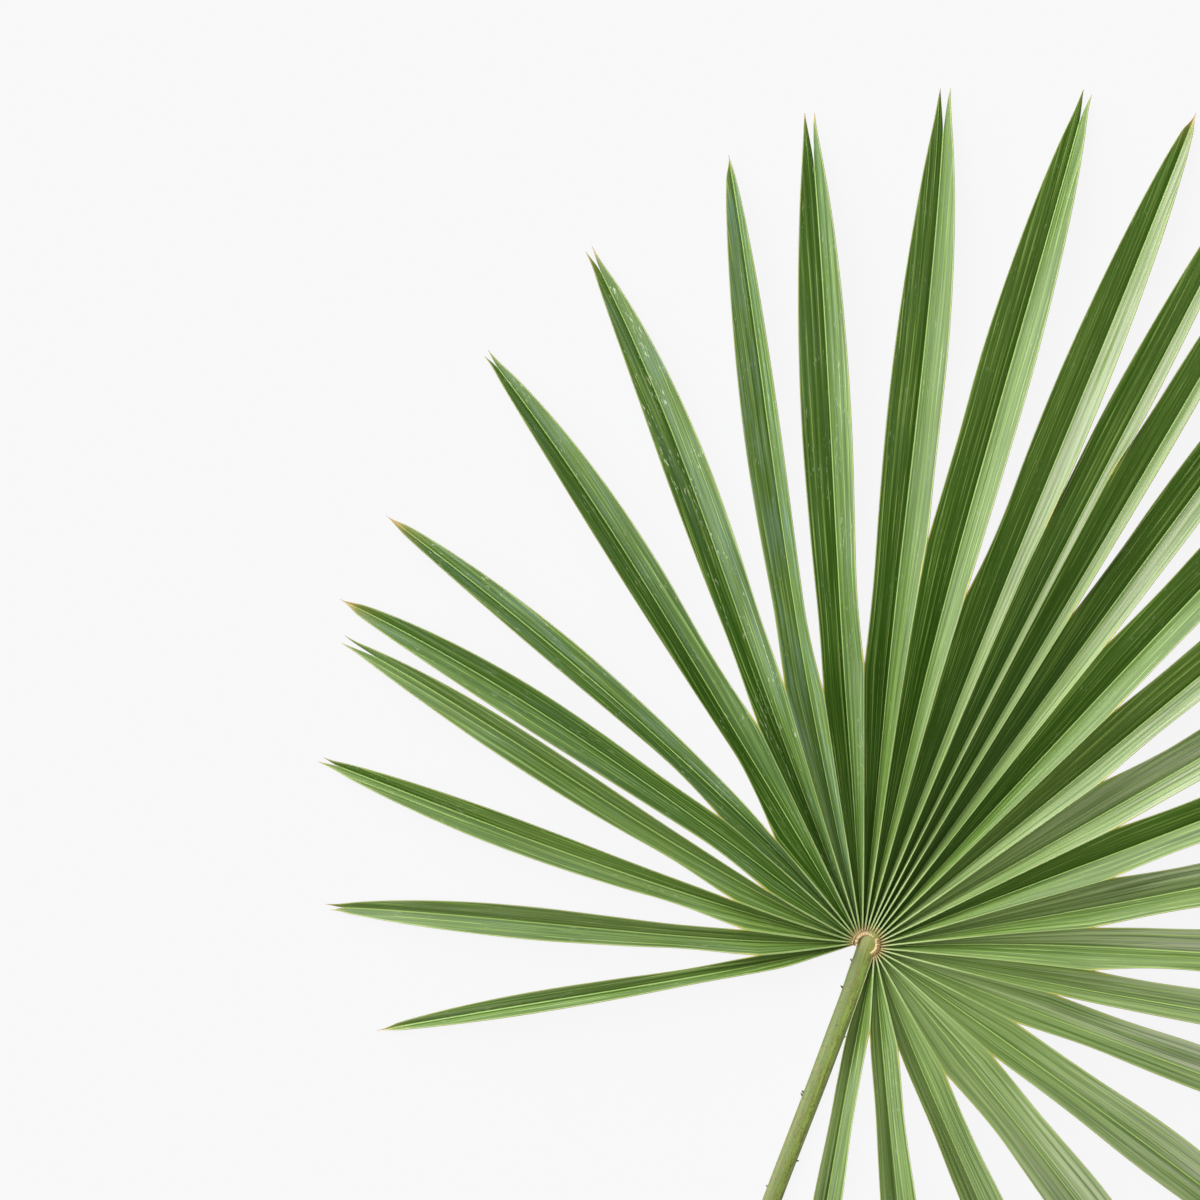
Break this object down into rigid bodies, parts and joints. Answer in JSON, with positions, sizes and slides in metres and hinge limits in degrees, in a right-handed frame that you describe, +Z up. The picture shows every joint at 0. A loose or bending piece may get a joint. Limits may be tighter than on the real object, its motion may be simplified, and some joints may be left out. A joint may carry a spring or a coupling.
{
  "type": "fan palm leaf",
  "caption": "Fan palm leaf lying flat, upper side up: pleated segments spread round a small hub on a cut stalk, joined near the hub and free beyond.",
  "frame": {"origin": "bottom centre of the leaf's bounding box, on the surface that it lies on", "axes": "+Z up from that surface, +Y along the leaf's axis from the cut end of the petiole to the tip of the middle segment, +X to the right seen from above"},
  "size_m": [0.8114, 0.9308, 0.0282],
  "materials": {
    "lamina": "satin green leaf surface with fine lengthwise veins",
    "petiole": "smooth fibrous olive green stalk",
    "hastula": "dry tan fibrous lip"
  },
  "bodies": {
    "root": {"petiole": "petiole", "hastula": "hastula", "segment_01": "lamina", "segment_02": "lamina", "segment_03": "lamina", "segment_04": "lamina", "segment_05": "lamina", "segment_06": "lamina", "segment_07": "lamina", "segment_08": "lamina", "segment_09": "lamina", "segment_10": "lamina", "segment_11": "lamina", "segment_12": "lamina", "segment_13": "lamina", "segment_14": "lamina", "segment_15": "lamina", "segment_16": "lamina", "segment_17": "lamina", "segment_18": "lamina", "segment_19": "lamina", "segment_20": "lamina", "segment_21": "lamina", "segment_22": "lamina", "segment_23": "lamina", "segment_24": "lamina", "segment_25": "lamina", "segment_26": "lamina", "segment_27": "lamina", "segment_28": "lamina", "segment_29": "lamina"}
  },
  "joints": []
}
